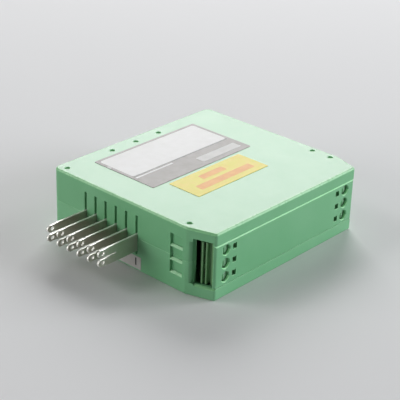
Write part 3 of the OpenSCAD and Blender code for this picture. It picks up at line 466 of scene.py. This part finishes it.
# Size and detail of an ink's blotches, of the rubbed gloss and of the film's grain
BLOTCHES = (3.5 * MM, 4.0)
RUBBING = (1.5 * MM, 3.0)
FILM_GRAIN = (0.2 * MM, 2.0)
FILM_DEPTH = 0.003 * MM
RUBBED_DOWN = 0.03
RUBBED_UP = 0.04
INK = 0.012 * MM
INK_SUNK = 0.006 * MM
ROUND_STEPS = 5
LABEL_CORNER = 0.5 * MM
BORDER_SIDE = 1.3 * MM
BORDER_BACK = 1.2 * MM
WHITE_FRONT = 11.1 * MM
WHITE_CORNER = 1.2 * MM
LINE_FRONT = 10.45 * MM
LINE_BACK = 10.95 * MM
RULE_FRONT = 9.1 * MM
RULE_BACK = 9.9 * MM
RULE_END = 19.5 * MM
LINE_CORNER = 0.1 * MM
PALE_BAR = (28.5 * MM, 2.6 * MM, 49.0 * MM, 6.6 * MM)
PALE_BAR_CORNER = 0.6 * MM
EDGE_MARK = (0.05 * MM, 21.4 * MM, 1.15 * MM, 23.2 * MM)
EDGE_MARK_CORNER = 0.3 * MM


def film(name, colour, worn, shine, rough):
    """Printed film: an even ink with faint blotches, a little rubbed, under a thin varnish."""
    material, tree, shader = new_material(name, Specular_IOR_Level=shine)
    two_tone(tree, shader, spread(tree, grain(tree, *BLOTCHES), 0.0, 1.0), colour, worn)
    gloss = spread(tree, grain(tree, *RUBBING), rough - RUBBED_DOWN, rough + RUBBED_UP)
    tree.links.new(gloss, shader.inputs["Roughness"])
    relief(tree, shader, grain(tree, *FILM_GRAIN), FILM_DEPTH)
    return material


def rounded(x0, y0, x1, y1, r):
    """Outline of a rectangle with rounded corners."""
    corners = ((x1 - r, y1 - r), (x0 + r, y1 - r), (x0 + r, y0 + r), (x1 - r, y0 + r))
    outline = []
    for quarter, (x, y) in enumerate(corners):
        for k in range(ROUND_STEPS + 1):
            turn = math.radians(90 * quarter + 90 * k / ROUND_STEPS)
            outline.append((x + r * math.cos(turn), y + r * math.sin(turn)))
    return outline


def slab(shape, outline, low, high, index):
    """Adds a flat slab with an outline to a mesh in the making, in the material of that index."""
    ring = [shape.verts.new((x, y, low)) for x, y in outline]
    over = [shape.verts.new((x, y, high)) for x, y in outline]
    count = len(outline)
    faces = [shape.faces.new(list(reversed(ring))), shape.faces.new(over)]
    for i in range(count):
        n = (i + 1) % count
        faces.append(shape.faces.new((ring[i], ring[n], over[n], over[i])))
    for face in faces:
        face.material_index = index


def printed(name, node, corner, fields, materials):
    """A stuck-on film in place of its solid: the film itself and its printed fields as layers of ink.
    A field is (x0, y0, x1, y1), measured from the film's front left, its corner radius and its
    material's index. The film itself takes the first material."""
    low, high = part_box(node)
    shape = bmesh.new()
    slab(shape, rounded(low[0], low[1], high[0], high[1], corner), low[2], high[2], 0)
    for layer, ((x0, y0, x1, y1), r, index) in enumerate(fields):
        outline = rounded(low[0] + x0, low[1] + y0, low[0] + x1, low[1] + y1, r)
        slab(shape, outline, high[2] - INK_SUNK, high[2] + INK * (1 + layer / len(fields)), index)
    mesh = bpy.data.meshes.new(name)
    shape.to_mesh(mesh)
    shape.free()
    for material in materials:
        mesh.materials.append(material)
    show(name, mesh, "housing", node)


label_low, label_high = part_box("rating_label")
field_end = label_high[0] - label_low[0] - BORDER_SIDE
field_back = label_high[1] - label_low[1] - BORDER_BACK
label_fields = (
    ((BORDER_SIDE, WHITE_FRONT, field_end, field_back), WHITE_CORNER, WHITE_INK),
    ((BORDER_SIDE, LINE_FRONT, field_end, LINE_BACK), LINE_CORNER, DARK_INK),
    ((BORDER_SIDE, RULE_FRONT, RULE_END, RULE_BACK), LINE_CORNER, WHITE_INK),
    (PALE_BAR, PALE_BAR_CORNER, PALE_INK),
    (EDGE_MARK, EDGE_MARK_CORNER, PALE_INK),
)
label_inks = (
    film("label_ground", LABEL_GROUND, LABEL_GROUND_WORN, LABEL_SHINE, DARK_ROUGH),
    film("label_white", LABEL_WHITE, LABEL_WHITE_SOILED, LABEL_SHINE, PALE_ROUGH),
    film("label_dark", LABEL_DARK, LABEL_DARK_WORN, LABEL_SHINE, DARK_ROUGH),
    film("label_pale", LABEL_PALE, LABEL_PALE_WORN, LABEL_SHINE, PALE_ROUGH),
)
printed("rating_label_print", "rating_label", LABEL_CORNER, label_fields, label_inks)

# Coloured sticker: yellow paper stuck on the top in front of the label, printed with a long and a
# short plain red bar.
YELLOW = (0.78, 0.71, 0.085, 1.0)
YELLOW_WARM = (0.84, 0.68, 0.120, 1.0)
BAR_RED = (0.80, 0.34, 0.080, 1.0)
BAR_RED_RUBBED = (0.86, 0.44, 0.090, 1.0)
STICKER_SHINE = 0.26
STICKER_ROUGH = 0.42
STICKER_CORNER = 0.3 * MM
LONG_BAR = (5.0 * MM, 2.9 * MM, 32.6 * MM, 6.3 * MM)
SHORT_BAR = (11.6 * MM, 8.3 * MM, 23.6 * MM, 11.3 * MM)
BAR_CORNER = 0.4 * MM
RED_INK = 1

sticker_fields = ((LONG_BAR, BAR_CORNER, RED_INK), (SHORT_BAR, BAR_CORNER, RED_INK))
sticker_inks = (
    film("sticker_yellow", YELLOW, YELLOW_WARM, STICKER_SHINE, STICKER_ROUGH),
    film("sticker_red", BAR_RED, BAR_RED_RUBBED, STICKER_SHINE, STICKER_ROUGH),
)
printed(
    "coloured_sticker_print", "coloured_sticker",
    STICKER_CORNER, sticker_fields, sticker_inks,
)

# Number strip: white paper stuck to the wall under the blades, with the numbers of the first and
# the last blade in black.
# Painted shade: the paper is coloured grey for the shadow of the blades over it
STRIP_WHITE_IN_PAINTED_SHADE = (0.54, 0.53, 0.52, 1.0)
STRIP_SOILED_IN_PAINTED_SHADE = (0.46, 0.44, 0.43, 1.0)
DIGIT_INK = (0.015, 0.015, 0.016, 1.0)
DIGIT_INK_THIN = (0.030, 0.030, 0.031, 1.0)
STRIP_SHINE = 0.3
STRIP_ROUGH = 0.5
DIGIT_H = 2.7 * MM
# Height of a digit as a share of its font's size
DIGIT_SHARE = 0.7
DIGIT_BOLD = 0.11 * MM
DIGIT_STEPS = 4
DIGIT_MIDDLE = 3.4 * MM
# Turns text that faces up to face the blade side, with its top up
TEXT_TO_WALL = Matrix(((0, 0, -1), (-1, 0, 0), (0, 1, 0)))

dress("number_strip", film("strip_paper", STRIP_WHITE_IN_PAINTED_SHADE, STRIP_SOILED_IN_PAINTED_SHADE, STRIP_SHINE, STRIP_ROUGH))
digit_ink = film("digit_ink", DIGIT_INK, DIGIT_INK_THIN, STRIP_SHINE, STRIP_ROUGH)
strip_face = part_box("number_strip")[0][0]
for number in (BLADES[0], BLADES[-1]):
    blade_low, blade_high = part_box("contact_blade_%d" % number)
    letters = bpy.data.curves.new("digit_%d" % number, "FONT")
    letters.body = str(number)
    letters.size = DIGIT_H / DIGIT_SHARE
    letters.align_x = "CENTER"
    letters.align_y = "CENTER"
    letters.extrude = INK
    letters.offset = DIGIT_BOLD
    letters.resolution_u = DIGIT_STEPS
    shaped = bpy.data.objects.new("digit_outline_%d" % number, letters)
    bpy.context.scene.collection.objects.link(shaped)
    bpy.context.view_layer.update()
    solid = shaped.evaluated_get(bpy.context.evaluated_depsgraph_get())
    digit_mesh = bpy.data.meshes.new_from_object(solid)
    bpy.data.objects.remove(shaped)
    on_wall = TEXT_TO_WALL.to_4x4()
    on_wall.translation = (strip_face, (blade_low[1] + blade_high[1]) / 2, DIGIT_MIDDLE)
    digit_mesh.transform(on_wall)
    digit_mesh.materials.clear()
    digit_mesh.materials.append(digit_ink)
    show("digit_%d" % number, digit_mesh, "housing")

# Studio: a plain pale floor, a weak even sky and soft lamps. The one behind makes the sheen of the
# top, two high ones draw the rims, and three low ones light the front, the blade side and the corner.
FLOOR_HALF = 3.0
FLOOR_GREY = (0.80, 0.80, 0.81, 1.0)
FLOOR_ROUGH = 0.9
SKY_WHITE = (1.0, 1.0, 1.0, 1.0)
SKY = 0.05
HIGH_DISTANCE = 1.4
LOW_DISTANCE = 1.6
BACK_SIZE = 0.78
RIM_SIZE = 0.42
LOW_SIZE = 1.2
CORNER_SIZE = 0.9
WHITE_LIGHT = (1.0, 1.0, 1.0)
COOL_LIGHT = (0.97, 1.0, 1.03)
WARM_LIGHT = (1.0, 1.0, 0.97)

floor_corners = [(x * FLOOR_HALF, y * FLOOR_HALF, 0.0) for x, y in ((-1, -1), (1, -1), (1, 1), (-1, 1))]
floor_mesh = bpy.data.meshes.new("floor")
floor_mesh.from_pydata(floor_corners, [], [(0, 1, 2, 3)])
floor = bpy.data.objects.new("floor", floor_mesh)
bpy.context.scene.collection.objects.link(floor)
pale_floor = new_material("pale_floor", Base_Color=FLOOR_GREY, Roughness=FLOOR_ROUGH)[0]
floor_mesh.materials.append(pale_floor)

world = bpy.data.worlds.new("studio")
bpy.context.scene.world = world
world.use_nodes = True
sky = world.node_tree.nodes["Background"]
sky.inputs["Color"].default_value = SKY_WHITE
sky.inputs["Strength"].default_value = SKY


def softbox(name, direction, distance, size, radiance, tint=WHITE_LIGHT):
    """A square lamp that faces the part from a direction, as bright as radiance times a white wall."""
    lamp = bpy.data.lights.new(name, "AREA")
    lamp.shape = "SQUARE"
    lamp.size = size
    lamp.energy = radiance * math.pi * size * size
    lamp.color = tint
    holder = bpy.data.objects.new(name, lamp)
    bpy.context.scene.collection.objects.link(holder)
    holder.location = Vector(direction).normalized() * distance
    holder.rotation_euler = Vector(direction).to_track_quat("Z", "Y").to_euler()


softbox("back_softbox", (0.660, 0.588, 0.54), HIGH_DISTANCE, BACK_SIZE, radiance=6.6)
softbox("left_rim_softbox", (-0.441, 0.597, 0.670), HIGH_DISTANCE, RIM_SIZE, radiance=4.4)
softbox("front_rim_softbox", (0.670, -0.441, 0.597), HIGH_DISTANCE, RIM_SIZE, radiance=4.0)
softbox("front_softbox", (0.80, -1.0, 0.14), LOW_DISTANCE, LOW_SIZE, radiance=7.1, tint=COOL_LIGHT)
softbox("side_softbox", (-1.0, 0.64, 0.16), LOW_DISTANCE, LOW_SIZE, radiance=3.8, tint=WARM_LIGHT)
softbox("corner_softbox", (-0.70, -0.70, 0.30), LOW_DISTANCE, CORNER_SIZE, radiance=0.2)

# Camera: the photograph's own viewpoint, a long lens from the front left and a little above,
# turned slightly about its axis.
AZIMUTH = math.radians(-48.28)
ELEVATION = math.radians(26.193)
ROLL = math.radians(1.931)
DISTANCE = 446.947 * MM
AIM = Vector((0.0, 0.0, 12.5 * MM))
SHIFT_RIGHT = -2.686 * MM
SHIFT_UP = -1.067 * MM
FOCAL_PX = 1237.581
IMAGE_PX = 400
SENSOR = 36.0
NEAR_LIMIT = 10 * MM

level_reach = math.cos(ELEVATION)
backward = Vector((
    math.sin(AZIMUTH) * level_reach,
    -math.cos(AZIMUTH) * level_reach,
    math.sin(ELEVATION),
))
level = Vector((math.cos(AZIMUTH), math.sin(AZIMUTH), 0.0))
plumb = backward.cross(level)
rightward = math.cos(ROLL) * level + math.sin(ROLL) * plumb
upward = math.cos(ROLL) * plumb - math.sin(ROLL) * level
lens = bpy.data.cameras.new("photo_camera")
lens.sensor_width = SENSOR
lens.lens = FOCAL_PX / IMAGE_PX * SENSOR
lens.clip_start = NEAR_LIMIT
camera = bpy.data.objects.new("photo_camera", lens)
bpy.context.scene.collection.objects.link(camera)
stand = Matrix((rightward, upward, backward)).transposed().to_4x4()
stand.translation = AIM + DISTANCE * backward + SHIFT_RIGHT * rightward + SHIFT_UP * upward
camera.matrix_world = stand
bpy.context.scene.camera = camera
bpy.context.scene.view_settings.view_transform = "Standard"
